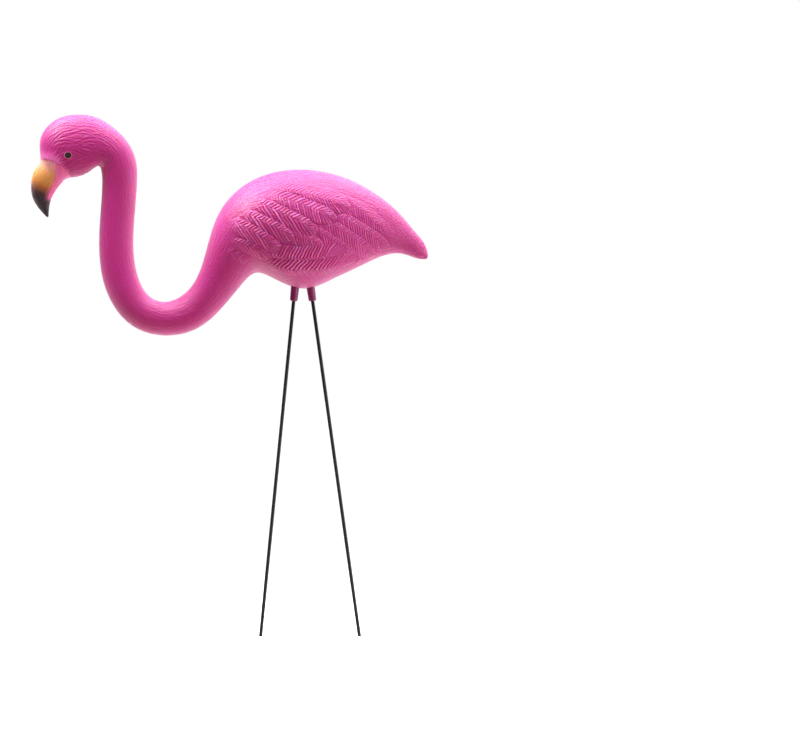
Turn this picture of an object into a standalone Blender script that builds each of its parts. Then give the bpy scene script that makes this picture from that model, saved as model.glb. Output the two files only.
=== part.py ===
"""Pink flamingo lawn ornament: a moulded plastic bird held up by two wire legs, at real size.

Metres, +Z up. The origin is on the ground between the two leg ends, and the bird looks along -X.
Its left and right halves mirror each other in the plane y = 0, which is the mould's parting plane.
"""

import math
from dataclasses import dataclass

import bmesh
import bpy
import numpy as np
from mathutils import Matrix, Vector
from mathutils.bvhtree import BVHTree

# Driving dimensions of the moulded bird, metres
BIRD_LENGTH = 0.539
BODY_WIDTH = 0.125
NECK_WIDTH = 0.045
HEAD_WIDTH = 0.053
BEAK_WIDTH = 0.031
TAIL_TIP_WIDTH = 0.007
FEATHER_RELIEF = 0.0030
FACE_STEP = 0.0014

# Driving dimensions of the stance, metres: the belly's height, how far it lies ahead of the origin,
# and how far the two feet stand from the origin
BELLY_HEIGHT = 0.474
BELLY_AHEAD = 0.009
FRONT_FOOT_REACH = 0.0665
REAR_FOOT_REACH = 0.068

# Driving dimensions of the sockets and rods, metres: a socket reaches SOCKET_DEPTH into the belly
# and hangs SOCKET_DROP below it, and a rod stops ROD_HEAD_ROOM short of its socket's upper end
SOCKET_SPACING = 0.0215
SOCKET_DIAMETER = 0.011
SOCKET_DROP = 0.018
SOCKET_DEPTH = 0.016
SOCKET_LIP_RADIUS = 0.0015
ROD_DIAMETER = 0.0048
ROD_HEAD_ROOM = 0.004
FIT_GAP = 0.0003

# Fineness of the faceted surface, with angles in degrees above which an edge is shaded sharp
SOCKET_SIDES = 16
SOCKET_LIP_STEPS = 3
ROD_SIDES = 12
BIRD_SHARP_ANGLE = 30.0
LEG_SHARP_ANGLE = 40.0
MERGE_DISTANCE = 0.00005


@dataclass(frozen=True)
class Station:
    """One cross-section: its top and bottom points seen from the side, and its width.

    The points are in hundredths of the bird's length, measured back and up from the belly.
    The width is a share of the width that its group names.
    """

    top: tuple
    bottom: tuple
    width: float


@dataclass(frozen=True)
class Feather:
    """One moulded feather seen from the side, in hundredths of the bird's length.

    The rib runs from root to tip, and bow is how far its middle hangs below the straight line.
    The vanes reach above and below the rib by the two widths.
    """

    root: tuple
    tip: tuple
    bow: float
    above: float
    below: float


@dataclass(frozen=True)
class Zone:
    """How finely a stretch of the bird is faceted.

    It runs to the station numbered end, with a section at every spacing and points down each side.
    """

    end: int
    spacing: float
    points: int


TAIL = (
    Station((31.6, 8.0), (31.3, 7.3), 0.45),
    Station((31.0, 10.4), (29.3, 7.4), 2.2),
)

BODY = (
    Station((28.5, 13.9), (25.8, 8.5), 0.24),
    Station((24.4, 18.7), (21.1, 8.4), 0.41),
    Station((17.9, 24.0), (14.3, 5.5), 0.64),
    Station((10.5, 27.8), (7.3, 2.2), 0.84),
    Station((1.8, 29.7), (1.0, -0.1), 0.97),
    Station((-6.8, 29.2), (-4.8, 1.2), 1.0),
    Station((-14.4, 26.1), (-9.1, 3.3), 0.95),
    Station((-19.6, 21.3), (-11.6, 3.9), 0.83),
    Station((-24.7, 8.2), (-16.0, 0.3), 0.55),
)

NECK = (
    Station((-27.7, 0.9), (-20.2, -4.7), 1.2),
    Station((-33.5, -3.4), (-28.5, -11.0), 1.06),
    Station((-39.0, -1.9), (-41.1, -10.6), 1.02),
    Station((-41.7, 3.0), (-48.5, -3.1), 1.0),
    Station((-42.8, 10.6), (-51.3, 8.6), 0.98),
    Station((-41.9, 26.2), (-50.6, 26.2), 0.98),
    Station((-43.0, 34.3), (-51.1, 30.1), 1.03),
)

HEAD = (
    Station((-51.5, 42.4), (-54.4, 28.8), 0.98),
    Station((-56.7, 43.3), (-56.6, 28.1), 1.0),
    Station((-62.0, 42.2), (-58.4, 27.9), 0.95),
    Station((-65.8, 38.7), (-59.4, 27.6), 0.83),
    Station((-66.3, 34.3), (-60.3, 27.1), 0.69),
)

BEAK = (
    Station((-66.2, 32.3), (-60.7, 26.6), 1.0),
    Station((-67.4, 30.2), (-61.5, 25.7), 0.86),
    Station((-68.5, 26.5), (-62.6, 24.1), 0.7),
    Station((-68.2, 23.0), (-63.6, 22.2), 0.54),
    Station((-64.5, 17.8), (-64.2, 17.9), 0.08),
)

# Faceting, by station number counted from the tail tip
ZONES = (
    Zone(2, 0.0060, 14),
    Zone(9, 0.0080, 18),
    Zone(11, 0.0080, 14),
    Zone(17, 0.0100, 10),
    Zone(22, 0.0055, 13),
    Zone(27, 0.0055, 10),
)

# Feathers from the one that lies lowest in the moulding to the one on top of all
FEATHERS = (
    Feather((9.3, 22.8), (24.9, 9.9), -1.0, 2.2, 3.0),
    Feather((7.8, 18.9), (21.6, 11.2), -0.3, 1.9, 2.9),
    Feather((4.6, 17.4), (18.3, 9.1), -0.3, 1.9, 2.9),
    Feather((1.6, 15.6), (14.6, 7.3), -0.2, 1.8, 2.6),
    Feather((-3.6, 14.8), (5.4, 9.8), -0.5, 1.8, 2.6),
    Feather((-9.4, 8.4), (10.6, 9.0), 1.4, 2.6, 1.2),
    Feather((-9.6, 6.2), (13.6, 7.4), 2.3, 2.4, 1.8),
    Feather((-8.4, 25.8), (11.8, 20.8), -0.9, 1.9, 3.0),
    Feather((-7.4, 24.6), (8.6, 17.8), -0.3, 1.9, 3.0),
    Feather((-11.6, 22.2), (3.8, 14.2), -0.2, 1.9, 3.0),
    Feather((-14.8, 19.4), (-2.0, 12.8), -0.2, 1.8, 2.9),
    Feather((-18.4, 17.2), (-4.9, 9.9), -0.2, 1.8, 2.8),
    Feather((-18.6, 13.0), (-9.2, 8.0), -0.2, 1.7, 2.2),
)

# Edge of the face over the beak, from brow to chin, and how far back its step fades out, all in
# hundredths of the bird's length
FACE_EDGE = ((-67.2, 32.7), (-63.8, 32.1), (-61.4, 31.2), (-59.5, 29.9), (-58.0, 27.6))
FACE_STEP_REACH = 3.2

# Heights of a feather over the skin, as shares of FEATHER_RELIEF
UPPER_EDGE_HEIGHT = 0.5
LOWER_EDGE_HEIGHT = 0.3
ROOT_HEIGHT = 0.3
TIP_CREST_HEIGHT = 0.55

# Outline of a feather: widths at its two ends as shares of its full width, how fast it widens from
# the root, and the share of its length past which the tip is rounded
ROOT_WIDTH = 0.5
ROOT_WIDENING = 2.0
TIP_WIDTH = 0.3
TIP_ROUNDING_START = 0.72

# Rows of points along a feather, how many of them at the tip lie low, and how deep its underside
# lies in the skin, metres
FEATHER_ROWS = 8
LOW_TIP_ROWS = 2
FEATHER_SINK = 0.003


def clear_scene():
    """Empty the file of the objects it opens with."""
    for thing in list(bpy.data.objects):
        bpy.data.objects.remove(thing, do_unlink=True)


def make_material(name, colour, roughness, metallic=0.0):
    """Make a material from its linear colour, roughness and metallic value."""
    material = bpy.data.materials.new(name)
    material.use_nodes = True
    shader = material.node_tree.nodes["Principled BSDF"]
    shader.inputs["Base Color"].default_value = (*colour, 1.0)
    shader.inputs["Roughness"].default_value = roughness
    shader.inputs["Metallic"].default_value = metallic
    return material


def put_in_scene(name, mesh_builder, material):
    """Turn a bmesh into a named object with its own material."""
    mesh = bpy.data.meshes.new(name)
    mesh_builder.to_mesh(mesh)
    mesh_builder.free()
    mesh.materials.append(material)
    item = bpy.data.objects.new(name, mesh)
    bpy.context.scene.collection.objects.link(item)
    return item


def share_to_metres(points):
    """Place points given in hundredths of the bird's length, as x and z in metres."""
    belly = np.array((-BELLY_AHEAD, BELLY_HEIGHT))
    return belly + np.asarray(points, dtype=float) * (BIRD_LENGTH / 100.0)


def smooth_through(knots, values, at):
    """Read a natural cubic spline through values, given at knots, in the places in at."""
    gaps = np.diff(knots)
    slopes = np.diff(values, axis=0) / gaps[:, None]
    count = len(knots)
    system = np.eye(count)
    right = np.zeros_like(values)
    for i in range(1, count - 1):
        system[i, i - 1:i + 2] = gaps[i - 1], 2.0 * (gaps[i - 1] + gaps[i]), gaps[i]
        right[i] = 6.0 * (slopes[i] - slopes[i - 1])
    bends = np.linalg.solve(system, right)
    spot = np.clip(np.searchsorted(knots, at, side="right") - 1, 0, count - 2)
    width = gaps[spot][:, None]
    after = (at - knots[spot])[:, None]
    before = width - after
    curved = (bends[spot] * before ** 3 + bends[spot + 1] * after ** 3) / (6.0 * width)
    straight_left = (values[spot] / width - bends[spot] * width / 6.0) * before
    straight_right = (values[spot + 1] / width - bends[spot + 1] * width / 6.0) * after
    return curved + straight_left + straight_right


def all_stations():
    """Give every station as one row: top x, top z, bottom x, bottom z and half width in metres."""
    groups = (
        (TAIL, TAIL_TIP_WIDTH),
        (BODY, BODY_WIDTH),
        (NECK, NECK_WIDTH),
        (HEAD, HEAD_WIDTH),
        (BEAK, BEAK_WIDTH),
    )
    rows = []
    for stations, group_width in groups:
        for station in stations:
            top = share_to_metres(station.top)
            bottom = share_to_metres(station.bottom)
            rows.append((*top, *bottom, station.width * group_width / 2.0))
    return np.array(rows)


def walk_along(rows):
    """Measure how far along the bird each station lies, by the mean of its top and bottom lines."""
    top_steps = np.hypot(np.diff(rows[:, 0]), np.diff(rows[:, 1]))
    bottom_steps = np.hypot(np.diff(rows[:, 2]), np.diff(rows[:, 3]))
    return np.concatenate(([0.0], np.cumsum((top_steps + bottom_steps) / 2.0)))


def ring_plan(knots):
    """List each section's place along the bird and how many points go down its side."""
    plan = []
    first = 0
    for zone in ZONES:
        start, stop = knots[first], knots[zone.end]
        steps = max(1, round((stop - start) / zone.spacing))
        plan += [(start + (stop - start) * step / steps, zone.points) for step in range(steps)]
        first = zone.end
    plan.append((knots[-1], ZONES[-1].points))
    return plan


def face_relief(x, z):
    """Let the face stand proud where it ends over the beak, fading back over the cheek."""
    edge = share_to_metres(FACE_EDGE)
    reach = FACE_STEP_REACH * BIRD_LENGTH / 100.0
    nearest = np.full_like(x, reach)
    for start, stop in zip(edge[:-1], edge[1:]):
        run = stop - start
        share = ((x - start[0]) * run[0] + (z - start[1]) * run[1]) / (run @ run)
        share = np.clip(share, 0.0, 1.0)
        far = np.hypot(x - start[0] - share * run[0], z - start[1] - share * run[1])
        side = run[0] * (z - start[1]) - run[1] * (x - start[0])
        signed = np.where(side > 0.0, far, -far)
        nearest = np.where((far < np.abs(nearest)) & (share < 1.0), signed, nearest)
    fade = 1.0 - nearest / reach
    return np.where(nearest > 0.0, fade * FACE_STEP, 0.0)


@dataclass(frozen=True)
class Section:
    """One cross-section in space: an oval that stands on the line from its bottom to its top."""

    middle: np.ndarray
    half: np.ndarray
    half_width: float

    def side_view(self, turn):
        """Give x and z of the plain oval at angles turned down from its top."""
        up = np.cos(turn)
        return self.middle[0] + self.half[0] * up, self.middle[1] + self.half[1] * up

    def side_points(self, points):
        """Place one side of the section in space, from its top to its bottom."""
        turn = np.linspace(0.0, math.pi, points)
        x, z = self.side_view(turn)
        half_height = np.hypot(*self.half)
        up, side = np.cos(turn) * self.half_width, np.sin(turn) * half_height
        outward = np.hypot(up, side)
        relief = face_relief(x, z) * np.sin(turn)
        x = x + relief * up / outward * self.half[0] / half_height
        z = z + relief * up / outward * self.half[1] / half_height
        y = self.half_width * np.sin(turn) + relief * side / outward
        y[0] = y[-1] = 0.0
        return np.column_stack((x, y, z))


def sections():
    """Work out every cross-section of the bird, from tail tip to beak tip."""
    rows = all_stations()
    knots = walk_along(rows)
    plan = ring_plan(knots)
    smooth = smooth_through(knots, rows, np.array([place for place, _ in plan]))
    for row, (_, points) in zip(smooth, plan):
        top, bottom = row[0:2], row[2:4]
        yield Section((top + bottom) / 2.0, (top - bottom) / 2.0, row[4]), points


def stitch(mesh_builder, side, next_side):
    """Join two rows of points, taking the shorter way across at each step."""
    i, j = 0, 0
    while i < len(side) - 1 or j < len(next_side) - 1:
        can_step, next_can_step = i < len(side) - 1, j < len(next_side) - 1
        if can_step and next_can_step:
            ahead = (side[i + 1].co - next_side[j].co).length
            next_ahead = (next_side[j + 1].co - side[i].co).length
            can_step = ahead <= next_ahead
        if can_step:
            mesh_builder.faces.new((side[i], side[i + 1], next_side[j]))
            i = i + 1
        else:
            mesh_builder.faces.new((side[i], next_side[j + 1], next_side[j]))
            j = j + 1


def bare_bird():
    """Skin one half of the casting through its sections, close its ends and mirror it."""
    mesh_builder = bmesh.new()
    sides = []
    for section, points in sections():
        sides.append([mesh_builder.verts.new(point) for point in section.side_points(points)])
    for side, next_side in zip(sides[:-1], sides[1:]):
        stitch(mesh_builder, side, next_side)
    mesh_builder.faces.new(tuple(reversed(sides[0])))
    mesh_builder.faces.new(sides[-1])
    bmesh.ops.triangulate(mesh_builder, faces=[face for face in mesh_builder.faces if len(face.verts) > 3])
    bmesh.ops.mirror(
        mesh_builder,
        geom=mesh_builder.verts[:] + mesh_builder.edges[:] + mesh_builder.faces[:],
        axis="Y",
        merge_dist=MERGE_DISTANCE,
    )
    bmesh.ops.recalc_face_normals(mesh_builder, faces=mesh_builder.faces)
    return mesh_builder


def feather_outline(along):
    """Give how wide a feather is there, as a share: narrow at its root and round at its tip."""
    past_straight = np.clip((along - TIP_ROUNDING_START) / (1.0 - TIP_ROUNDING_START), 0.0, 1.0)
    rounding = TIP_WIDTH + (1.0 - TIP_WIDTH) * np.sqrt(1.0 - past_straight ** 2)
    return rounding * np.clip(ROOT_WIDTH + ROOT_WIDENING * along, 0.0, 1.0)


def feather_rows(feather, surface):
    """Lay rows of three points, upper edge, rib and lower edge, over and under the skin.

    The rows close up towards the tip, and the rib hangs in a parabola by the feather's bow.
    """
    root, tip = share_to_metres(feather.root), share_to_metres(feather.tip)
    unit = BIRD_LENGTH / 100.0
    run = (tip - root) / math.dist(root, tip)
    rise = np.array((-run[1], run[0]))
    inwards = Vector((0.0, -1.0, 0.0))
    for number, along in enumerate(np.sin(np.linspace(0.0, math.pi / 2.0, FEATHER_ROWS))):
        width = feather_outline(along) * unit
        hang = feather.bow * unit * 4.0 * along * (1.0 - along)
        rib = root + (tip - root) * along - rise * hang
        tall = FEATHER_RELIEF * (ROOT_HEIGHT + (1.0 - ROOT_HEIGHT) * along)
        crest = 1.0 if number < FEATHER_ROWS - LOW_TIP_ROWS else TIP_CREST_HEIGHT
        across = (
            (feather.above * width, UPPER_EDGE_HEIGHT),
            (0.0, crest),
            (-feather.below * width, LOWER_EDGE_HEIGHT),
        )
        outer, inner = [], []
        for offset, height in across:
            spot = rib + rise * offset
            hit, normal, _, _ = surface.ray_cast(Vector((spot[0], BODY_WIDTH, spot[1])), inwards)
            outer.append(hit + normal * tall * height)
            inner.append(hit - normal * FEATHER_SINK)
        yield outer + inner[::-1]


def build_feather(feather, surface, side):
    """Make one feather as a closed blade half sunk in the skin; side is 1.0 or -1.0, for +Y or -Y."""
    builder = bmesh.new()
    rows = []
    for row in feather_rows(feather, surface):
        rows.append([builder.verts.new((point.x, point.y * side, point.z)) for point in row])
    for row, next_row in zip(rows[:-1], rows[1:]):
        for k in range(len(row)):
            following = (k + 1) % len(row)
            builder.faces.new((row[k], row[following], next_row[following], next_row[k]))
    builder.faces.new(rows[0])
    builder.faces.new(rows[-1])
    bmesh.ops.triangulate(builder, faces=builder.faces[:])
    bmesh.ops.recalc_face_normals(builder, faces=builder.faces)
    return builder


def boolean(item, other, operation):
    """Set up an exact Boolean between an object and another one."""
    step = item.modifiers.new(other.name, "BOOLEAN")
    step.operation = operation
    step.solver = "EXACT"
    step.object = other


def grow_on(bird, shape):
    """Unite a shape with the bird for good, and drop the shape."""
    boolean(bird, shape, "UNION")
    evaluated = bird.evaluated_get(bpy.context.evaluated_depsgraph_get())
    united = bpy.data.meshes.new_from_object(evaluated)
    bird.modifiers.clear()
    bird.data = united
    bpy.data.objects.remove(shape, do_unlink=True)


def build_bird(material):
    """Make the casting: the bare bird with its feathers grown onto both sides."""
    mesh_builder = bare_bird()
    surface = BVHTree.FromBMesh(mesh_builder)
    bird = put_in_scene("flamingo_body", mesh_builder, material)
    for side in (1.0, -1.0):
        for feather in FEATHERS:
            blade = build_feather(feather, surface, side)
            grow_on(bird, put_in_scene("feather", blade, material))
    bird.data.shade_smooth()
    bird.data.set_sharp_from_angle(angle=math.radians(BIRD_SHARP_ANGLE))
    return bird


@dataclass(frozen=True)
class Leg:
    """The straight line of one leg, from its foot on the ground up to where it enters the belly."""

    foot: Vector
    hip: Vector

    @property
    def direction(self):
        """Unit vector up the leg."""
        return (self.hip - self.foot).normalized()

    @property
    def frame(self):
        """Matrix that puts local +Z up the leg, with its origin at the hip."""
        turn = self.direction.to_track_quat("Z", "Y").to_matrix().to_4x4()
        return Matrix.Translation(self.hip) @ turn


def legs():
    """Lay out the front and the rear leg from their feet and the socket spacing."""
    half_spacing = SOCKET_SPACING / 2.0
    front = Leg(
        Vector((-FRONT_FOOT_REACH, 0.0, 0.0)),
        Vector((-BELLY_AHEAD - half_spacing, 0.0, BELLY_HEIGHT)),
    )
    rear = Leg(
        Vector((REAR_FOOT_REACH, 0.0, 0.0)),
        Vector((-BELLY_AHEAD + half_spacing, 0.0, BELLY_HEIGHT)),
    )
    return {"front": front, "rear": rear}


def cut_pocket(bird, leg, name):
    """Sink the blind round pocket that a socket sits in."""
    builder = bmesh.new()
    radius = SOCKET_DIAMETER / 2.0 + FIT_GAP
    depth = SOCKET_DROP + SOCKET_DEPTH + FIT_GAP
    bmesh.ops.create_cone(
        builder,
        cap_ends=True,
        segments=SOCKET_SIDES,
        radius1=radius,
        radius2=radius,
        depth=depth,
        matrix=Matrix.Translation((0.0, 0.0, depth / 2.0 - SOCKET_DROP)),
    )
    cutter = put_in_scene(name, builder, bird.data.materials[0])
    cutter.matrix_world = leg.frame
    cutter.hide_render = True
    cutter.display_type = "WIRE"
    boolean(bird, cutter, "DIFFERENCE")


def turned_profile(profile, sides):
    """Spin a closed profile of radius and height pairs into a ring-shaped solid."""
    builder = bmesh.new()
    rings = []
    for radius, height in profile:
        ring = []
        for side in range(sides):
            angle = 2.0 * math.pi * side / sides
            ring.append(builder.verts.new((radius * math.cos(angle), radius * math.sin(angle), height)))
        rings.append(ring)
    for ring, next_ring in zip(rings, rings[1:] + rings[:1]):
        for side in range(sides):
            following = (side + 1) % sides
            builder.faces.new((ring[side], ring[following], next_ring[following], next_ring[side]))
    bmesh.ops.recalc_face_normals(builder, faces=builder.faces)
    return builder


def build_socket(name, leg, material):
    """Make one sleeve: a tube with a rounded lower lip, its upper part inside the belly."""
    outer = SOCKET_DIAMETER / 2.0
    bore = ROD_DIAMETER / 2.0 + FIT_GAP
    lip = SOCKET_LIP_RADIUS
    profile = [(bore, SOCKET_DEPTH), (outer, SOCKET_DEPTH)]
    for step in range(SOCKET_LIP_STEPS + 1):
        angle = math.pi / 2.0 * step / SOCKET_LIP_STEPS
        radius = outer - lip + lip * math.cos(angle)
        profile.append((radius, lip - lip * math.sin(angle) - SOCKET_DROP))
    profile.append((bore, -SOCKET_DROP))
    socket = put_in_scene(name, turned_profile(profile, SOCKET_SIDES), material)
    socket.matrix_world = leg.frame
    socket.data.shade_smooth()
    socket.data.set_sharp_from_angle(angle=math.radians(LEG_SHARP_ANGLE))


def build_rod(name, leg, material):
    """Make one wire leg, cut level with the ground at its foot, its head up in the socket."""
    along = leg.direction
    head = leg.hip + along * (SOCKET_DEPTH - ROD_HEAD_ROOM)
    radius = ROD_DIAMETER / 2.0
    across = Vector((along.z, 0.0, -along.x))
    sideways = Vector((0.0, 1.0, 0.0))
    builder = bmesh.new()
    feet, heads = [], []
    for side in range(ROD_SIDES):
        angle = 2.0 * math.pi * side / ROD_SIDES
        offset = (across * math.cos(angle) + sideways * math.sin(angle)) * radius
        ring_point = leg.foot + offset
        feet.append(builder.verts.new(ring_point - along * (ring_point.z / along.z)))
        heads.append(builder.verts.new(head + offset))
    for side in range(ROD_SIDES):
        following = (side + 1) % ROD_SIDES
        builder.faces.new((feet[side], feet[following], heads[following], heads[side]))
    builder.faces.new(feet)
    builder.faces.new(heads)
    bmesh.ops.recalc_face_normals(builder, faces=builder.faces)
    rod = put_in_scene(name, builder, material)
    rod.data.shade_smooth()
    rod.data.set_sharp_from_angle(angle=math.radians(LEG_SHARP_ANGLE))


def main():
    """Build the bird, its two sockets and its two legs."""
    clear_scene()
    bird = build_bird(make_material("pink_plastic", (0.72, 0.07, 0.38), 0.38))
    for end, leg in legs().items():
        cut_pocket(bird, leg, f"{end}_pocket_cutter")
        plum = make_material(f"{end}_plum_plastic", (0.16, 0.02, 0.09), 0.4)
        build_socket(f"{end}_leg_socket", leg, plum)
        black = make_material(f"{end}_black_wire", (0.01, 0.01, 0.01), 0.35, 0.6)
        build_rod(f"{end}_leg_rod", leg, black)


main()
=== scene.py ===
"""Dressed model of the pink flamingo lawn ornament: a moulded plastic bird on two wire legs.

Metres, +Z up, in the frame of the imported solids. The bird looks along -X and stands over the origin.
"""

import logging
import math
from contextlib import contextmanager
from dataclasses import dataclass, field
from enum import Enum, IntEnum
from functools import cached_property
from typing import Any, ClassVar, Iterator

import bpy
import numpy as np
from bpy.types import Material, Mesh, Node, NodeSocket, NodeTree, Object
from mathutils import Matrix, Vector


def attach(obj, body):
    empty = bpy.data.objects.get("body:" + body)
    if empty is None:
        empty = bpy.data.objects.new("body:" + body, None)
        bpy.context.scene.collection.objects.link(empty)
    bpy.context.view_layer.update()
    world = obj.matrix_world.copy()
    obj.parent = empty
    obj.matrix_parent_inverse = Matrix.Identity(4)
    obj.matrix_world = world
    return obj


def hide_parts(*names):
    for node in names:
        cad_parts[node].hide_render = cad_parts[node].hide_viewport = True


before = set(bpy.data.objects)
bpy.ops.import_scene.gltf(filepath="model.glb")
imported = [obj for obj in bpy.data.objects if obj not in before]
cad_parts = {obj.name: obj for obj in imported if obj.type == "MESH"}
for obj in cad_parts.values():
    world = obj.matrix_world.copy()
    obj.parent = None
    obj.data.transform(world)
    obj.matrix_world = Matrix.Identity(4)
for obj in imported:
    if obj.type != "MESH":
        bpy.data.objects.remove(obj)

LOG = logging.getLogger("flamingo")
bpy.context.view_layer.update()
MILLIMETRE = 0.001
HAIR = 1e-5  # a distance in metres under which two places count as one

Array = np.ndarray
Pair = tuple[float, float]
Triple = tuple[float, float, float]
Stops = tuple[tuple[float, str], ...]
Links = dict[int | str, Any]


def hex_colour(code: str) -> tuple[float, float, float, float]:
    """Turn an sRGB hex colour into the linear colour that a shader socket takes.

    Args:
        code: The colour as "#rrggbb".

    Returns:
        Red, green, blue and alpha, each from 0 to 1.
    """
    channels = (int(code[i:i + 2], 16) / 255.0 for i in (1, 3, 5))
    linear = (c / 12.92 if c <= 0.04045 else ((c + 0.055) / 1.055) ** 2.4 for c in channels)
    return (*linear, 1.0)


def fade(low: float, high: float, value: Array) -> Array:
    """Rise smoothly from 0 at low to 1 at high.

    Args:
        low: Where the rise starts; it may be above high, and then the curve falls.
        high: Where the rise ends.
        value: The places to read it at.

    Returns:
        The eased share for each place.
    """
    share = np.clip((value - low) / (high - low), 0.0, 1.0)
    return share * share * (3.0 - 2.0 * share)


def feed(node: Node, links: Links) -> None:
    """Feed a node's inputs.

    Args:
        node: The node.
        links: What feeds each input: an output socket is linked, and anything else is set on it.
    """
    for name, source in links.items():
        if isinstance(source, NodeSocket):
            node.id_data.links.new(source, node.inputs[name])
        else:
            node.inputs[name].default_value = source


def add_node(
    tree: NodeTree, kind: str, links: Links | None = None, out: str = "", **settings: Any
) -> NodeSocket:
    """Add a shader node with its settings and what feeds its inputs.

    Args:
        tree: The node tree to add it to.
        kind: The node's type name, without its leading "ShaderNode".
        links: As for feed.
        out: The output that is wanted, where it isn't the first one in use.
        settings: Properties to set; "stops" gives a colour ramp its places and hex colours.

    Returns:
        The wanted output.
    """
    node = tree.nodes.new(f"ShaderNode{kind}")
    for name, value in settings.items():
        if name == "stops":
            elements = node.color_ramp.elements
            while len(elements) < len(value):
                elements.new(0.5)
            for element, (place, colour) in zip(elements, value):
                element.position = place
                element.color = hex_colour(colour)
        else:
            setattr(node, name, value)
    feed(node, links or {})
    return node.outputs[out] if out else next(socket for socket in node.outputs if socket.enabled)


def new_material(name: str) -> tuple[Material, NodeTree, Node]:
    """Make a material with node tree and give its Principled shader.

    Args:
        name: The finish's name.

    Returns:
        The material, its node tree and its shader node.
    """
    material = bpy.data.materials.new(name)
    material.use_nodes = True
    tree = material.node_tree
    return material, tree, tree.nodes["Principled BSDF"]


def start_fresh() -> None:
    """Deselect everything, so that the next operator acts on the next piece alone."""
    bpy.ops.object.select_all(action="DESELECT")


@contextmanager
def editing() -> Iterator[None]:
    """Work on the active piece in edit mode."""
    bpy.ops.object.mode_set(mode="EDIT")
    yield
    bpy.ops.object.mode_set(mode="OBJECT")


def select_faces(mesh: Mesh, chosen: Array) -> None:
    """Select exactly the chosen faces, with edit mode left in face selection.

    Args:
        mesh: The mesh, seen from object mode.
        chosen: One truth value for each face.
    """
    bpy.context.tool_settings.mesh_select_mode = (False, False, True)
    mesh.vertices.foreach_set("select", np.zeros(len(mesh.vertices), dtype=bool))
    mesh.edges.foreach_set("select", np.zeros(len(mesh.edges), dtype=bool))
    mesh.polygons.foreach_set("select", chosen.astype(bool))


def face_places(mesh: Mesh) -> Array:
    """Give the middles of the faces.

    Args:
        mesh: The mesh, seen from object mode.

    Returns:
        One row of x, y and z for each face.
    """
    middles = np.zeros(len(mesh.polygons) * 3)
    mesh.polygons.foreach_get("center", middles)
    return middles.reshape(-1, 3)


def vertex_places(mesh: Mesh) -> Array:
    """Give the places of the vertices.

    Args:
        mesh: The mesh, seen from object mode.

    Returns:
        One row of x, y and z for each vertex.
    """
    places = np.zeros(len(mesh.vertices) * 3)
    mesh.vertices.foreach_get("co", places)
    return places.reshape(-1, 3)


@dataclass(frozen=True)
class Station:
    """One cross-section: its top and bottom points seen from the side, and its width.

    The points are in hundredths of the bird's length, measured back and up from the belly.
    The width is a share of the width that its group names.
    """

    top: Pair
    bottom: Pair
    width: float


class Landmark(IntEnum):
    """Stations of the bird, counted from the tail's tip, where something begins or ends."""

    TAIL_ROOT = 2
    SHOULDER = 9
    BREAST = 10
    NECK_FOOT = 11
    NECK_TOP = 16
    NAPE = 17
    BACK_OF_HEAD = 18
    CROWN = 20
    BROW = 22
    BEAK_ROOT = 23
    BEAK_MIDDLE = 25
    BEAK_TIP = 27


@dataclass(frozen=True)
class SmoothLine:
    """A natural cubic spline through rows of values, one row at each knot."""

    knots: Array
    values: Array

    @cached_property
    def bends(self) -> Array:
        """Work out how sharply the line bends.

        Returns:
            One row of second derivatives for each knot.
        """
        gaps = np.diff(self.knots)
        slopes = np.diff(self.values, axis=0) / gaps[:, None]
        count = len(self.knots)
        system = np.eye(count)
        right = np.zeros_like(self.values)
        for i in range(1, count - 1):
            system[i, i - 1:i + 2] = gaps[i - 1], 2.0 * (gaps[i - 1] + gaps[i]), gaps[i]
            right[i] = 6.0 * (slopes[i] - slopes[i - 1])
        return np.linalg.solve(system, right)

    def at(self, places: Array) -> Array:
        """Read the spline.

        Args:
            places: Where to read it, in the knots' unit.

        Returns:
            One row of values for each place.
        """
        spot = np.clip(np.searchsorted(self.knots, places, side="right") - 1, 0, len(self.knots) - 2)
        width = np.diff(self.knots)[spot][:, None]
        after = (places - self.knots[spot])[:, None]
        before = width - after
        bends, values = self.bends, self.values
        curved = (bends[spot] * before ** 3 + bends[spot + 1] * after ** 3) / (6.0 * width)
        left = (values[spot] / width - bends[spot] * width / 6.0) * before
        right = (values[spot + 1] / width - bends[spot + 1] * width / 6.0) * after
        return curved + left + right


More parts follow.
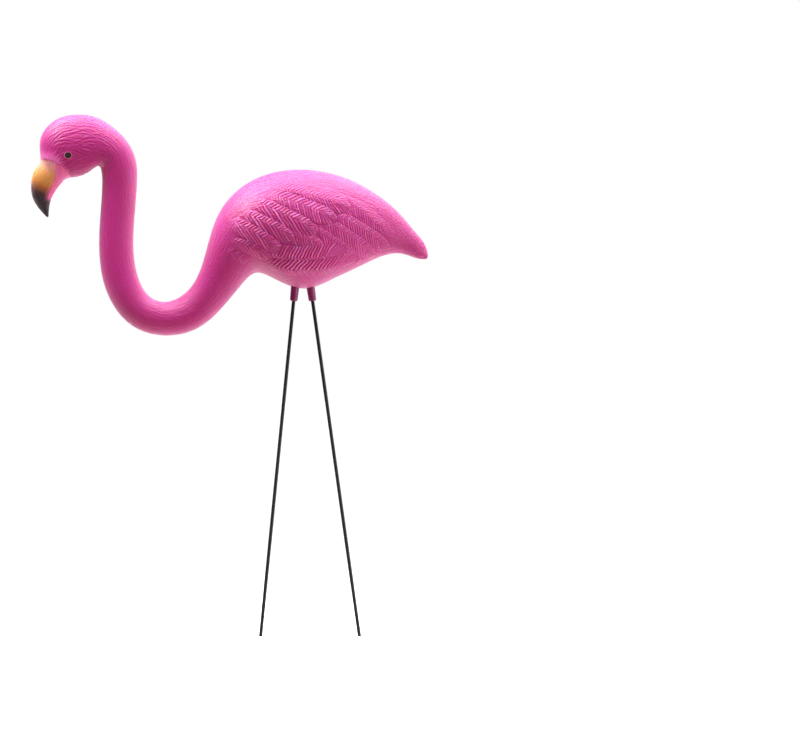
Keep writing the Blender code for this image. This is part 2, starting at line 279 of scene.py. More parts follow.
@dataclass(frozen=True)
class BirdForm:
    """The bare outer form of the moulded bird, with the sizes of its solid."""

    length: float = 0.539
    body_width: float = 0.125
    neck_width: float = 0.045
    head_width: float = 0.053
    beak_width: float = 0.031
    tail_tip_width: float = 0.007
    belly_height: float = 0.474
    belly_ahead: float = 0.009
    end_rounding: float = 0.0022
    tail: tuple[Station, ...] = (
        Station((31.6, 8.0), (31.3, 7.3), 0.45),
        Station((31.0, 10.4), (29.3, 7.4), 2.2),
    )
    body: tuple[Station, ...] = (
        Station((28.5, 13.9), (25.8, 8.5), 0.24),
        Station((24.4, 18.7), (21.1, 8.4), 0.41),
        Station((17.9, 24.0), (14.3, 5.5), 0.64),
        Station((10.5, 27.8), (7.3, 2.2), 0.84),
        Station((1.8, 29.7), (1.0, -0.1), 0.97),
        Station((-6.8, 29.2), (-4.8, 1.2), 1.0),
        Station((-14.4, 26.1), (-9.1, 3.3), 0.95),
        Station((-19.6, 21.3), (-11.6, 3.9), 0.83),
        Station((-24.7, 8.2), (-16.0, 0.3), 0.55),
    )
    neck: tuple[Station, ...] = (
        Station((-27.7, 0.9), (-20.2, -4.7), 1.2),
        Station((-33.5, -3.4), (-28.5, -11.0), 1.06),
        Station((-39.0, -1.9), (-41.1, -10.6), 1.02),
        Station((-41.7, 3.0), (-48.5, -3.1), 1.0),
        Station((-42.8, 10.6), (-51.3, 8.6), 0.98),
        Station((-41.9, 26.2), (-50.6, 26.2), 0.98),
        Station((-42.9, 34.4), (-51.2, 30.6), 1.03),
    )
    head: tuple[Station, ...] = (
        Station((-51.4, 42.7), (-54.4, 29.1), 0.98),
        Station((-56.7, 43.7), (-56.6, 28.2), 1.0),
        Station((-62.1, 42.5), (-58.4, 27.9), 0.95),
        Station((-65.8, 38.7), (-59.4, 27.6), 0.83),
        Station((-66.3, 34.3), (-60.3, 27.1), 0.69),
    )
    beak: tuple[Station, ...] = (
        Station((-66.2, 32.3), (-60.7, 26.6), 1.0),
        Station((-67.4, 30.2), (-61.5, 25.7), 0.86),
        Station((-68.5, 26.5), (-62.6, 24.1), 0.7),
        Station((-68.2, 23.0), (-63.6, 22.2), 0.54),
        Station((-64.5, 17.8), (-64.2, 17.9), 0.08),
    )

    @property
    def unit(self) -> float:
        """A hundredth of the bird's length, in metres."""
        return self.length / 100.0

    def metres(self, points: Any) -> Array:
        """Place points given in hundredths of the length, as x and z in metres."""
        belly = np.array((-self.belly_ahead, self.belly_height))
        return belly + np.asarray(points, dtype=float) * self.unit

    def hundredths(self, x: Array, z: Array) -> tuple[Array, Array]:
        """Turn x and z in metres back into hundredths of the length from the belly."""
        return (x + self.belly_ahead) / self.unit, (z - self.belly_height) / self.unit

    @cached_property
    def line(self) -> SmoothLine:
        """Lay a smooth line through all stations.

        Returns:
            A spline of top x, top z, bottom x, bottom z and half width.
        """
        rows = []
        for stations, group_width in (
            (self.tail, self.tail_tip_width),
            (self.body, self.body_width),
            (self.neck, self.neck_width),
            (self.head, self.head_width),
            (self.beak, self.beak_width),
        ):
            for station in stations:
                top, bottom = self.metres(station.top), self.metres(station.bottom)
                rows.append((*top, *bottom, station.width * group_width / 2.0))
        values = np.array(rows)
        top_steps = np.hypot(np.diff(values[:, 0]), np.diff(values[:, 1]))
        bottom_steps = np.hypot(np.diff(values[:, 2]), np.diff(values[:, 3]))
        knots = np.concatenate(([0.0], np.cumsum((top_steps + bottom_steps) / 2.0)))
        return SmoothLine(knots, values)

    @property
    def end(self) -> float:
        """Place of the beak's tip along the bird, in metres from the tail's tip."""
        return float(self.line.knots[-1])

    def skin(self, place: Array, turn: Array) -> Array:
        """Place points of the bare surface.

        Args:
            place: How far along the bird each point lies, in metres from the tail's tip.
            turn: The angle round its section, from 0 at the top through pi at the bottom.

        Returns:
            One row of x, y and z for each point.
        """
        row = self.line.at(place)
        from_end = np.minimum(place, self.end - place) / self.end_rounding
        shrink = np.sqrt(1.0 - (1.0 - np.clip(from_end, 0.0, 1.0)) ** 2)
        up, side = np.cos(turn) * shrink, np.sin(turn) * shrink
        x = (row[:, 0] * (1.0 + up) + row[:, 2] * (1.0 - up)) / 2.0
        z = (row[:, 1] * (1.0 + up) + row[:, 3] * (1.0 - up)) / 2.0
        return np.column_stack((x, row[:, 4] * side, z))

    def outward(self, place: Array, turn: Array) -> Array:
        """Give the unit normals of the bare surface, from small steps along it and round it.

        Args:
            place: As for skin.
            turn: As for skin.

        Returns:
            One row of x, y and z for each point.
        """
        step, swing = 0.0004, 0.01
        inner = np.clip(place, self.end_rounding, self.end - self.end_rounding)
        along = self.skin(inner + step, turn) - self.skin(inner - step, turn)
        around = self.skin(inner, turn + swing) - self.skin(inner, turn - swing)
        normal = np.cross(along, around)
        row = self.line.at(inner)
        middle_x, middle_z = (row[:, 0] + row[:, 2]) / 2.0, (row[:, 1] + row[:, 3]) / 2.0
        middle = np.column_stack((middle_x, np.zeros(len(row)), middle_z))
        facing = np.sum(normal * (self.skin(inner, turn) - middle), axis=1)
        size = np.maximum(np.linalg.norm(normal, axis=1), 1e-12) * np.where(facing < 0.0, -1.0, 1.0)
        return normal / size[:, None]


@dataclass(frozen=True)
class Feather:
    """One moulded feather seen from the side, in hundredths of the bird's length.

    The rib runs from root to tip, and bow is how far its middle hangs below the straight line.
    The vanes reach above and below the rib. A pitch is the spacing of the barbs, square to them, in
    millimetres, and a lean is the barbs' angle to the rib, in degrees. A step is how high that vane's
    edge stands, as a share of the rib's height. The barbs crowd and fan out past FAN_START of the
    rib, and CURL bends them towards the tip.
    """

    TIP_ROUNDING: ClassVar[Pair] = (0.74, 0.28)
    WIDENING: ClassVar[float] = 2.0
    FAN_START: ClassVar[float] = 0.74
    FAN: ClassVar[float] = 0.17
    CROWDING: ClassVar[float] = 1.7
    CURL: ClassVar[float] = 0.011

    root: Pair
    tip: Pair
    bow: float
    above: float
    below: float
    upper_pitch: float
    lower_pitch: float
    upper_lean: float = 64.0
    lower_lean: float = 40.0
    strength: float = 1.0
    upper_step: float = 0.5
    lower_step: float = 0.3
    tip_fade: float = 0.0
    root_width: float = 0.55
    lift: float = 1.0

    def along_and_over(self, x: Array, z: Array) -> tuple[Array, Array, float]:
        """Measure points against the rib.

        Args:
            x: Places back from the belly, in hundredths of the bird's length.
            z: Places up from the belly, likewise.

        Returns:
            The share along the rib, the distance above it, and the rib's length.
        """
        run_x, run_z = self.tip[0] - self.root[0], self.tip[1] - self.root[1]
        rib = math.hypot(run_x, run_z)
        run_x, run_z = run_x / rib, run_z / rib
        share = ((x - self.root[0]) * run_x + (z - self.root[1]) * run_z) / rib
        over = (z - self.root[1]) * run_x - (x - self.root[0]) * run_z
        inside = np.clip(share, 0.0, 1.0)
        return share, over + self.bow * 4.0 * inside * (1.0 - inside), rib

    def outline(self, share: Array) -> Array:
        """Give the vanes' width along the rib: narrow at the root, round at the tip.

        Args:
            share: Places along the rib, as shares.

        Returns:
            The width there, as a share of the vane's reach.
        """
        start, reach = self.TIP_ROUNDING
        rounding = np.sqrt(np.clip(1.0 - (np.clip(share - start, 0.0, 1.0) / reach) ** 2, 0.0, 1.0))
        return rounding * np.clip(self.root_width + self.WIDENING * share, 0.0, 1.0)

    def across_barbs(self, along: Array, over: Array, rib: float, lean: Array) -> Array:
        """Measure along the barbs' row: they sweep towards the tip and fan out near it.

        Args:
            along: Distance along the rib, in millimetres.
            over: Distance from the rib, in millimetres.
            rib: The rib's length, in millimetres.
            lean: Angle of the barbs to the rib.

        Returns:
            The distance square to the barbs, in millimetres.
        """
        rise, sweep = np.sin(lean), np.cos(lean)
        fan_start = self.FAN_START * rib * rise
        plain = along * rise - over * sweep - self.CURL * over ** 2
        fanned = (plain + over * self.FAN * fan_start) / (1.0 + over * self.FAN)
        fanned = fan_start + (fanned - fan_start) * self.CROWDING
        return np.where(plain > fan_start, fanned, plain)


@dataclass
class Plumage:
    """Wing feathers moulded into the sides of the body, laid from the lowest to the topmost one.

    A feather's edge rises over edge_mm and has a shallow moat round it. Its barbs' height is a share
    of their pitch, differs from barb to barb by unevenness, and their spacing wobbles a little. On
    a vane whose step is under flat_step they fade towards its edge, by one share above the rib and
    another below it.
    """

    form: BirdForm
    relief: float = 3.0 * MILLIMETRE
    edge_mm: float = 1.0
    moat: float = 0.8 * MILLIMETRE
    moat_mm: float = 1.3
    full_step: float = 0.5
    overrun: float = 0.02
    root_height: float = 0.3
    blunt_tip: float = 0.45
    barb_share: float = 0.24
    barb_roundness: float = 0.8
    barb_middle: float = 0.6
    unevenness: float = 0.56
    wobble: float = 0.07
    flat_step: float = 0.1
    flat_fades: Pair = (0.85, 0.9)
    feathers: tuple[Feather, ...] = (
        Feather(
            (9.3, 22.8), (24.9, 9.9), -1.0, 1.9, 3.0, 3.4, 3.0, 64, 48,
            strength=0.75, upper_step=0.06, tip_fade=0.9,
        ),
        Feather((8.5, 18.3), (21.6, 10.4), -0.25, 1.5, 2.9, 3.5, 3.1, 70, 54, strength=0.9, tip_fade=0.25),
        Feather((5.5, 16.8), (18.0, 8.6), -0.2, 1.45, 2.7, 3.5, 3.3, 70, 52, strength=0.85, tip_fade=0.35),
        Feather((2.6, 14.9), (14.4, 7.0), -0.1, 1.35, 2.4, 3.6, 3.3, 64, 46, strength=0.75, tip_fade=0.6),
        Feather((-5.6, 14.6), (5.2, 10.4), -0.6, 1.35, 3.0, 3.6, 3.4, 56, 62, root_width=1.0),
        Feather((-9.4, 8.6), (10.6, 9.2), 1.5, 3.1, 0.7, 4.0, 3.6, 70, 50, strength=1.6, tip_fade=0.7),
        Feather(
            (-9.6, 6.2), (13.6, 7.4), 2.3, 2.5, 1.8, 4.2, 3.2, 50, 50,
            strength=1.7, lower_step=0.0, tip_fade=0.8,
        ),
        Feather((-8.2, 25.2), (11.8, 20.2), -0.5, 3.0, 3.0, 3.8, 3.2, 46, 50, upper_step=0.05),
        Feather((-8.2, 23.7), (8.3, 17.4), -0.1, 1.85, 3.0, 4.4, 3.7, 50, 62, strength=1.15),
        Feather((-11.8, 21.7), (3.7, 14.2), -0.15, 1.75, 3.0, 4.3, 4.6, 62, 36, strength=1.2),
        Feather((-14.6, 18.9), (-2.3, 12.6), -0.2, 1.5, 2.9, 4.0, 4.5, 64, 34, strength=1.15),
        Feather((-17.6, 17.0), (-5.4, 9.9), -0.2, 1.45, 2.8, 4.0, 4.2, 62, 30, strength=1.05),
        Feather((-17.4, 11.8), (-7.8, 7.9), -0.2, 1.3, 1.9, 3.5, 3.6, 56, 34, lower_step=0.1, lift=0.7),
        Feather(
            (-19.2, 9.4), (-14.0, 6.8), -0.1, 1.2, 1.4, 3.4, 3.4, strength=0.7, upper_step=0.1, lift=0.25
        ),
    )

    def lies_on(self, x: Array, z: Array, margin: float) -> Array:
        """Tell which points lie under or near a feather.

        Args:
            x: Places back from the belly, in hundredths of the bird's length.
            z: Places up from the belly, likewise.
            margin: How far beyond the vanes still counts.

        Returns:
            One truth value for each point.
        """
        near = np.zeros(x.shape, dtype=bool)
        for feather in self.feathers:
            share, over, rib = feather.along_and_over(x, z)
            lengthwise = (share > -margin / rib) & (share < 1.0 + self.overrun + margin / rib)
            near |= lengthwise & (over < feather.above + margin) & (over > -feather.below - margin)
        return near

    def lay(self, x: Array, z: Array) -> dict[str, Array]:
        """Work out the relief of all feathers.

        Args:
            x: Places back from the belly, in hundredths of the bird's length.
            z: Places up from the belly, likewise.

        Returns:
            Arrays: "height" over the skin and "barb" height in metres, the "count" of barbs, and their
            "depth" as a share.
        """
        per_mm = self.form.unit / MILLIMETRE
        height, barb, count, depth = (np.zeros_like(x) for _ in range(4))
        for feather in self.feathers:
            share, over, rib = feather.along_and_over(x, z)
            above, off_rib = over > 0.0, np.abs(over)
            step = np.where(above, feather.upper_step, feather.lower_step)
            reach = np.where(above, feather.above, feather.below) * feather.outline(share)
            inner = (reach - off_rib) * per_mm
            to_end = np.minimum(share + self.overrun, 1.0 + self.overrun - share) * rib * per_mm
            gap = np.minimum(inner, to_end)
            cover = fade(0.0, self.edge_mm, gap)

            moat = np.exp(-(np.minimum(gap, 0.0) / self.moat_mm) ** 2)
            moat = moat * fade(0.05, 0.3, share) * fade(1.12, 1.02, share)
            steepest = max(feather.upper_step, feather.lower_step) / self.full_step
            moat = moat * steepest * (1.0 - feather.tip_fade) * feather.lift * step / self.full_step

            across = np.clip(off_rib / np.maximum(reach, 1e-6), 0.0, 1.0)
            rise = self.root_height + (1.0 - self.root_height) * np.clip(share, 0.0, 1.0)
            sunk_tip = feather.tip_fade * fade(0.45, 0.95, share)
            tip = 1.0 - np.maximum(sunk_tip, self.blunt_tip * fade(0.86, 1.02, share))
            crown = (1.0 - across * (1.0 - step)) * rise * tip * fade(-0.03, 0.12, share) * feather.lift

            along_mm, over_mm, rib_mm = share * rib * per_mm, off_rib * per_mm, rib * per_mm
            pitch = np.where(above, feather.upper_pitch, feather.lower_pitch)
            lean = np.radians(np.where(above, feather.upper_lean, feather.lower_lean))
            number = feather.across_barbs(along_mm, over_mm, rib_mm, lean) / pitch
            number = number + self.wobble * np.sin(along_mm / 4.6 + over_mm / 2.2 + 3.0 * rib)
            ends = fade(0.0, 0.16, share) * fade(0.25, 1.0, np.minimum(inner, over_mm + 0.25))
            strong = feather.strength * ends * (1.0 - feather.tip_fade * fade(0.5, 0.95, share))
            flat_fade = np.where(above, *self.flat_fades) * (step < self.flat_step)
            strong = strong * (1.0 - flat_fade * across)
            # Each barb draws its own height from its number, the same in every run
            own = np.sin(np.floor(number) * 12.9898 + 78.233 * rib) * 43758.5453
            own = 1.0 + self.unevenness * (own - np.floor(own) - 0.5)
            ridge = np.abs(np.sin(np.pi * number)) ** self.barb_roundness * own - self.barb_middle
            tall = pitch * self.barb_share * MILLIMETRE

            height = (height - self.moat * moat) * (1.0 - cover) + self.relief * crown * cover
            barb = barb * (1.0 - cover) + tall * ridge * strong * cover
            count = np.where(cover > 0.5, number, count)
            own_depth = strong * fade(0.5, 1.0, cover)
            depth = np.where(cover > 0.5, own_depth, depth * (1.0 - fade(0.0, 0.5, cover)))
        return {"height": height, "barb": barb, "count": count, "depth": depth}


@dataclass
class FaceRelief:
    """The face over the beak: its proud edge, the mouth line, the eye and the wavy head plumage.

    Lines and places are seen from the side, in hundredths of the bird's length.
    """

    form: BirdForm
    edge: tuple[Pair, ...] = (
        (-67.2, 32.7), (-63.8, 32.1), (-61.4, 31.2), (-59.5, 29.9), (-58.0, 27.6)
    )
    edge_step: float = 1.0 * MILLIMETRE
    edge_reach: float = 3.2
    chin: Pair = (-59.0, -62.0)
    mouth: tuple[Pair, ...] = (
        (-62.2, 30.4), (-62.4, 27.8), (-63.2, 25.8), (-64.2, 24.1), (-64.6, 22.6), (-64.2, 21.2)
    )
    mouth_depth: float = 0.2 * MILLIMETRE
    mouth_width: float = 0.26
    jaw_inset: float = 0.4 * MILLIMETRE
    jaw_end: Pair = (21.4, 22.9)
    beak_base: float = 32.0
    beak_tip: float = 17.8
    paint_lean: float = 0.45
    paint_middle: float = -65.0
    eye: Pair = (-59.02, 33.34)
    eye_radius: float = 0.80
    eye_rim: float = 0.35 * MILLIMETRE
    ball_share: float = 1.3
    streak_count: int = 58
    streak_height: float = 0.30 * MILLIMETRE
    neck_streaks: float = 0.3
    seam_height: float = 0.22 * MILLIMETRE
    seam_width: float = 0.02

    def distance(
        self, line: tuple[Pair, ...], x: Array, z: Array
    ) -> tuple[Array, Array]:
        """Measure from an open line of points, seen from the side.

        Args:
            line: The line's points, in hundredths of the bird's length.
            x: Places back from the belly, likewise.
            z: Places up from the belly, likewise.

        Returns:
            The distance, positive to the left of the line's run, and the place along the line as a share.
        """
        points = np.array(line)
        steps = np.hypot(*np.diff(points, axis=0).T)
        starts = np.concatenate(([0.0], np.cumsum(steps)))
        best = np.full_like(x, np.inf)
        where = np.zeros_like(x)
        for start, stop, begun, length in zip(points[:-1], points[1:], starts, steps):
            run = stop - start
            share = np.clip(((x - start[0]) * run[0] + (z - start[1]) * run[1]) / (run @ run), 0.0, 1.0)
            far = np.hypot(x - start[0] - share * run[0], z - start[1] - share * run[1])
            side = run[0] * (z - start[1]) - run[1] * (x - start[0])
            closer = far < np.abs(best)
            best = np.where(closer, np.where(side > 0.0, far, -far), best)
            where = np.where(closer, (begun + share * length) / starts[-1], where)
        return best, where

    def carve(
        self, x: Array, z: Array, place: Array, turn: Array
    ) -> dict[str, Array]:
        """Work out the relief of the head and beak.

        Args:
            x: Places back from the belly, in hundredths of the bird's length.
            z: Places up from the belly, likewise.
            place: How far along the bird, in metres.
            turn: The angle round the section.

        Returns:
            Arrays: "height" in metres, and the shares "beak" for the painted beak, "jaw" for its lower
            half, "run" along the beak from its base to its tip, and "streak" for the head plumage.
        """
        knots = self.form.line.knots
        on_head = place > knots[Landmark.NAPE]
        to_edge, _ = self.distance(self.edge, x, z)
        behind_edge = on_head & (to_edge > 0.0)
        proud = np.where(behind_edge, self.edge_step * fade(self.edge_reach, 0.0, to_edge), 0.0)
        proud = proud * fade(-0.15, 0.15, to_edge) * np.sqrt(np.abs(np.sin(turn))) * fade(*self.chin, x)

        soft = 0.12 + 0.8 * fade(*self.chin[::-1], x)
        painted = fade(0.0, 1.0, 0.5 - to_edge / (2.0 * soft))
        beak = np.where(place > knots[Landmark.CROWN], painted, 0.0)
        beak = np.maximum(beak, (place > knots[Landmark.BEAK_ROOT]).astype(float))
        to_mouth, down = self.distance(self.mouth, x, z)
        groove = np.exp(-(to_mouth / self.mouth_width) ** 2) * fade(0.0, 0.2, down) * beak
        jaw = fade(-0.8, 0.9, to_mouth) * fade(*self.jaw_end, z)

        eye_gap = np.hypot(x - self.eye[0], z - self.eye[1]) / self.eye_radius
        rim = np.exp(-((eye_gap - 1.25) / 0.22) ** 2) * self.eye_rim
        ball = self.eye_rim * self.ball_share * np.sqrt(np.clip(1.0 - eye_gap ** 2, 0.0, 1.0))
        eye = np.where(on_head, rim + ball, 0.0)

        # Two trains of strands cross each other and take turns in patches; run is in millimetres
        run, swing = place / MILLIMETRE, np.minimum(turn, 2.0 * math.pi - turn)
        wander = 0.5 * np.sin(run / 4.9 + 4.0 * swing) + 0.5 * np.sin(run / 8.3 - 6.0 * swing + 1.3)
        rising = np.sin(self.streak_count * swing + 0.42 * run + 1.8 * wander)
        falling = np.sin(0.86 * self.streak_count * swing - 0.34 * run + 2.2 * wander + 0.9)
        patch = np.sin(run / 8.6 + 8.0 * swing) + np.sin(run / 13.0 - 11.0 * swing + 0.7)
        lock = fade(-0.8, 0.8, patch)
        wave = rising * lock + falling * (1.0 - lock)
        broken = 0.65 + 0.35 * np.sin(run / 6.7 + 11.0 * swing) * np.sin(run / 3.9 - 7.0 * swing + 0.7)
        onto_head = fade(knots[Landmark.NECK_TOP] - 0.02, knots[Landmark.BACK_OF_HEAD], place)
        onto_neck = fade(knots[Landmark.SHOULDER] - 0.02, knots[Landmark.NECK_FOOT], place)
        head_share = onto_head * (1.0 - beak) * fade(0.14, 0.5, swing) * fade(0.0, 0.28, eye_gap - 1.35)
        streak = wave * broken * (head_share + self.neck_streaks * onto_neck * (1.0 - onto_head))

        seam = self.seam_height * np.exp(-(np.sin(turn) / self.seam_width) ** 2)
        inset = self.jaw_inset * jaw * beak * fade(0.15, 0.6, to_mouth)
        height = proud + eye + self.streak_height * streak + seam - self.mouth_depth * groove - inset
        leaned = z + self.paint_lean * (x - self.paint_middle)
        paint_run = (self.beak_base - leaned) / (self.beak_base - self.beak_tip)
        return {"height": height, "beak": beak, "jaw": jaw, "run": paint_run, "streak": head_share}


@dataclass(frozen=True)
class MouldedPink:
    """Blow-moulded polyethylene, dyed pink right through, with an airbrushed beak and eyes.

    The wall is thin and lets some light in, so its shading is soft and its surface is satin. The beak
    fades from pale pink through orange to black, as sprayed paint does. The pink is painted darker in
    the hollows of the barbs and strands as painted shade and paler on their crests as painted
    highlight, and the pale ring round each black pupil is a painted highlight.
    """

    # Deep pink for the relief's hollows is painted shade, and pale pink for its crests is painted
    # highlight.
    pink_relief_shading: Stops = ((0.25, "#a40a5e"), (0.62, "#c42090"), (1.0, "#ec78c4"))
    jaw_pink: str = "#f070b8"
    beak_stops: Stops = (
        (0.0, "#f4a6cc"), (0.12, "#f4bca8"), (0.25, "#e8b064"), (0.44, "#d8963c"),
        (0.55, "#a4602a"), (0.66, "#3c2012"), (0.74, "#0b0807"), (1.0, "#050404"),
    )
    eye_place: Triple = (-0.3271, 0.0, 0.6537)
    eye_size: Pair = (0.0047, 0.0041)
    # A pale ring that is a painted highlight, then the black painted pupil inside it.
    eye_pupil_and_highlight_ring: tuple[tuple[float, float, str], ...] = ((1.10, 1.22, "#e596b8"), (0.96, 1.06, "#120a0c"))
    roughness: Pair = (0.37, 0.48)
    strand_lay: Triple = (75.0, 84.0, 1.0)
    down_lay: Triple = (190.0, 420.0, 440.0)
    down_start: Pair = (-0.20, -0.08)
    FIXED: ClassVar[Links] = {
        "IOR": 1.54,
        "Subsurface Weight": 0.7,
        "Subsurface Radius": (1.0, 0.06, 0.14),
        "Subsurface Scale": 0.010,
        "Sheen Weight": 0.30,
        "Sheen Roughness": 0.5,
        "Sheen Tint": hex_colour("#ffdff0"),
    }

    def make(self) -> Material:
        """Build the material.

        Returns:
            The material.
        """
        material, tree, shader = new_material("moulded_pink_polyethylene")
        place = add_node(tree, "TexCoord", out="Object")
        read = {
            name: add_node(tree, "Attribute", out="Fac", attribute_name=name)
            for name in ("ridge", "beak", "jaw", "beak_run", "barb_count", "barb_depth")
        }
        clouds = add_node(tree, "TexNoise", {"Vector": place, "Scale": 160.0, "Detail": 2.0})
        low, high = self.roughness
        feed(shader, {
            "Base Color": self.colour(tree, place, read),
            "Roughness": add_node(tree, "MapRange", {0: clouds, 3: low, 4: high}),
            "Normal": self.relief(tree, place, read),
            **self.FIXED,
        })
        return material

    def colour(self, tree: NodeTree, place: NodeSocket, read: dict[str, NodeSocket]) -> NodeSocket:
        """Mix the dyed pink, with painted shade in its hollows and painted highlight on its crests, with
        the paint of the beak and the eyes.

        Args:
            tree: The material's node tree.
            place: The object coordinates.
            read: The numbers kept on the mesh, by name.

        Returns:
            The mixed colour.
        """
        clouds = add_node(tree, "TexNoise", {"Vector": place, "Scale": 22.0, "Detail": 3.0})
        tones = []
        # The relief's height picks the pink tone: painted shade in the hollows, painted highlight on the
        # crests.
        for source, share, stops in (("ridge", 0.24, self.pink_relief_shading), ("beak_run", 0.10, self.beak_stops)):
            tone = add_node(tree, "Math", {0: clouds, 1: share, 2: read[source]}, operation="MULTIPLY_ADD")
            tones.append(add_node(tree, "ValToRGB", {0: tone}, stops=stops))
        pink, beak = tones
        jaw_pink = hex_colour(self.jaw_pink)
        beak = add_node(tree, "Mix", {0: read["jaw"], 6: beak, 7: jaw_pink}, data_type="RGBA")
        skin = add_node(tree, "Mix", {0: read["beak"], 6: pink, 7: beak}, data_type="RGBA")
        gap = add_node(tree, "VectorMath", {0: place, 1: self.eye_place}, operation="SUBTRACT")
        stretch = (1.0 / self.eye_size[0], 0.0, 1.0 / self.eye_size[1])
        gap = add_node(tree, "VectorMath", {0: gap, 1: stretch}, operation="MULTIPLY")
        gap = add_node(tree, "VectorMath", {0: gap}, out="Value", operation="LENGTH")
        # The pale ring is a painted highlight round the eye; the black pupil is paint.
        for inner, outer, paint in self.eye_pupil_and_highlight_ring:
            mask = add_node(tree, "MapRange", {0: gap, 1: inner, 2: outer, 3: 1.0, 4: 0.0})
            skin = add_node(tree, "Mix", {0: mask, 6: skin, 7: hex_colour(paint)}, data_type="RGBA")
        return skin

    def relief(self, tree: NodeTree, place: NodeSocket, read: dict[str, NodeSocket]) -> NodeSocket:
        """Raise what is too fine for the mesh: barb edges, strands, belly down and the mould's grain.

        The strands are about 13 mm long and a twelfth as wide, the down 5 mm long and 2.3 mm wide.

        Args:
            tree: The material's node tree.
            place: The object coordinates.
            read: The numbers kept on the mesh, by name.

        Returns:
            The bent normal.
        """
        barbs = add_node(tree, "Math", {0: read["barb_count"], 1: math.pi}, operation="MULTIPLY")
        for operation in ("SINE", "ABSOLUTE"):
            barbs = add_node(tree, "Math", {0: barbs}, operation=operation)
        barbs = add_node(tree, "Math", {0: barbs, 1: read["barb_depth"]}, operation="MULTIPLY")
        uv = add_node(tree, "UVMap", uv_map="along_and_around")
        uv = add_node(tree, "VectorMath", {0: uv, 1: self.strand_lay}, operation="MULTIPLY")
        strands = add_node(tree, "TexNoise", {"Vector": uv, "Scale": 1.0, "Detail": 3.0, "Distortion": 0.6})
        lay = add_node(tree, "VectorMath", {0: place, 1: self.down_lay}, operation="MULTIPLY")
        down = add_node(tree, "TexNoise", {"Vector": lay, "Scale": 1.0, "Detail": 1.0, "Distortion": 1.2})
        back = add_node(tree, "SeparateXYZ", {0: place}, out="X")
        on_body = add_node(tree, "MapRange", {0: back, 1: self.down_start[0], 2: self.down_start[1]})
        down = add_node(tree, "Math", {0: down, 1: on_body}, operation="MULTIPLY")
        grain = add_node(tree, "TexNoise", {"Vector": place, "Scale": 900.0, "Detail": 2.0})
        normal = {}
        for height, strength, distance in (
            (barbs, 0.8, 0.0005), (strands, 1.0, 0.0013), (down, 0.8, 0.0010), (grain, 0.10, 0.0003)
        ):
            bump = {"Strength": strength, "Distance": distance, "Height": height}
            normal = {"Normal": add_node(tree, "Bump", {**bump, **normal})}
        return normal["Normal"]


@dataclass(frozen=True)
class DrawnFinish:
    """Surface with fine runs in one direction, which show in its colour, gloss and relief alike."""

    name: str
    stops: Stops
    runs_per_metre: Triple
    detail: float
    roughness: Pair
    bump: Pair

    def make(self) -> Material:
        """Build the material.

        Returns:
            The material.
        """
        material, tree, shader = new_material(self.name)
        place = add_node(tree, "TexCoord", out="Object")
        drawn = add_node(tree, "VectorMath", {0: place, 1: self.runs_per_metre}, operation="MULTIPLY")
        runs = add_node(tree, "TexNoise", {"Vector": drawn, "Scale": 1.0, "Detail": self.detail})
        (low, high), (strength, distance) = self.roughness, self.bump
        feed(shader, {
            "Base Color": add_node(tree, "ValToRGB", {0: runs}, stops=self.stops),
            "Roughness": add_node(tree, "MapRange", {0: runs, 3: low, 4: high}),
            "Normal": add_node(tree, "Bump", {"Strength": strength, "Distance": distance, "Height": runs}),
        })
        return material


@dataclass(frozen=True)
class PlumSleevePlastic(DrawnFinish):
    """Injection-moulded plastic in dark plum: smoother than the bird, with a faint drawn grain."""

    name: str = "moulded_plum_plastic"
    stops: Stops = ((0.3, "#6c104c"), (0.7, "#8e1c68"))
    runs_per_metre: Triple = (900.0, 900.0, 120.0)
    detail: float = 2.0
    roughness: Pair = (0.36, 0.48)
    bump: Pair = (0.15, 0.0002)


@dataclass(frozen=True)
class LacqueredWire(DrawnFinish):
    """Drawn steel wire under matt black lacquer: nearly black, with fine runs along the wire."""

    name: str = "black_lacquered_wire"
    stops: Stops = ((0.45, "#050505"), (0.8, "#121111"))
    runs_per_metre: Triple = (1400.0, 1400.0, 60.0)
    detail: float = 3.0
    roughness: Pair = (0.47, 0.65)
    bump: Pair = (0.2, 0.0001)


@dataclass(frozen=True)
class StudioPaper:
    """Matt white paper roll, lit through from behind so that it stays white, with a faint fibre.

    The light it throws back on the bird is warm and dim near the camera and white behind the bird.
    """

    colour: str = "#fafafa"
    fibre: str = "#f4f4f4"
    near_bounce: str = "#98706e"
    far_bounce: str = "#dcdcdc"
    bounce_change: Pair = (-0.25, 0.35)
    roughness: float = 0.9
    backlight: float = 0.62

    def make(self) -> Material:
        """Build the material.

        Returns:
            The material.
        """
        material, tree, shader = new_material("white_studio_paper")
        place = add_node(tree, "TexCoord", out="Object")
        fibre = add_node(tree, "TexNoise", {"Vector": place, "Scale": 90.0, "Detail": 4.0})
        colour = add_node(tree, "ValToRGB", {0: fibre}, stops=((0.3, self.fibre), (0.7, self.colour)))
        depth = add_node(tree, "SeparateXYZ", {0: place}, out="Y")
        near, far = self.bounce_change
        back = add_node(tree, "MapRange", {0: depth, 1: near, 2: far})
        tints = {6: hex_colour(self.near_bounce), 7: hex_colour(self.far_bounce)}
        bounce = add_node(tree, "Mix", {0: back, **tints}, data_type="RGBA")
        seen = add_node(tree, "LightPath", out="Is Camera Ray")
        feed(shader, {
            "Base Color": add_node(tree, "Mix", {0: seen, 6: bounce, 7: colour}, data_type="RGBA"),
            "Emission Color": colour,
            "Emission Strength": add_node(tree, "Math", {0: seen, 1: self.backlight}, operation="MULTIPLY"),
            "Roughness": self.roughness,
        })
        return material


